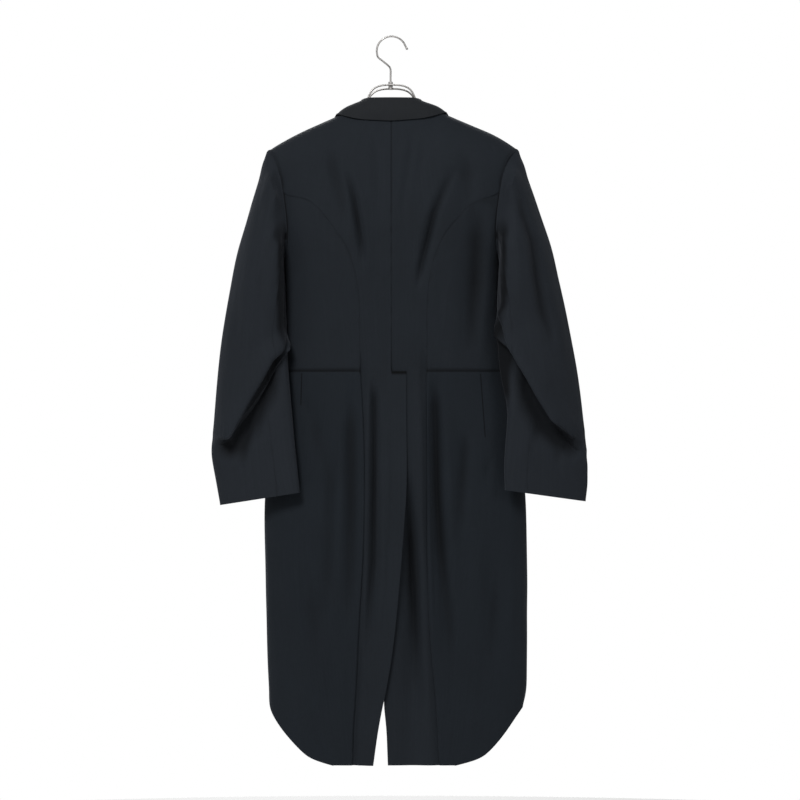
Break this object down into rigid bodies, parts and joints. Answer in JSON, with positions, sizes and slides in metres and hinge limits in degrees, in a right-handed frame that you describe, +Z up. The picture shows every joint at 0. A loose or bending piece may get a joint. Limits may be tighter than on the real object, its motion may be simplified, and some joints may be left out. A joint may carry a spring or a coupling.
{
  "type": "morning coat on a wire hanger",
  "caption": "Black cutaway tailcoat hung by its hanger's hook: peaked lapels, one waist button, waist seam, pleated tails with a centre vent, two-piece sleeves.",
  "frame": {"origin": "inside top of the hanger's hook, where it rests on a rail", "axes": "+Z up, +Y out of the coat's back, +X towards the wearer's left"},
  "size_m": [0.6096, 0.1419, 1.1839],
  "materials": {
    "back_left": "matte worsted",
    "back_right": "matte worsted",
    "side_body_left": "matte worsted",
    "side_body_right": "matte worsted",
    "forepart_left": "matte worsted",
    "forepart_right": "matte worsted",
    "lapel_left": "matte worsted",
    "lapel_right": "matte worsted",
    "skirt_left": "matte worsted",
    "skirt_right": "matte worsted",
    "top_sleeve_left": "matte worsted",
    "top_sleeve_right": "matte worsted",
    "under_sleeve_left": "matte worsted",
    "under_sleeve_right": "matte worsted",
    "collar": "matte worsted",
    "front_button": "polished",
    "hanger_hook": "bright",
    "hanger_knuckle": "bright",
    "hanger_wires": "bright"
  },
  "bodies": {
    "root": {"back_left": "back_left", "back_right": "back_right", "side_body_left": "side_body_left", "side_body_right": "side_body_right", "forepart_left": "forepart_left", "forepart_right": "forepart_right", "lapel_left": "lapel_left", "lapel_right": "lapel_right", "skirt_left": "skirt_left", "skirt_right": "skirt_right", "top_sleeve_left": "top_sleeve_left", "top_sleeve_right": "top_sleeve_right", "under_sleeve_left": "under_sleeve_left", "under_sleeve_right": "under_sleeve_right", "collar": "collar", "front_button": "front_button", "hanger_hook": "hanger_hook", "hanger_knuckle": "hanger_knuckle", "hanger_wires": "hanger_wires"}
  },
  "joints": []
}
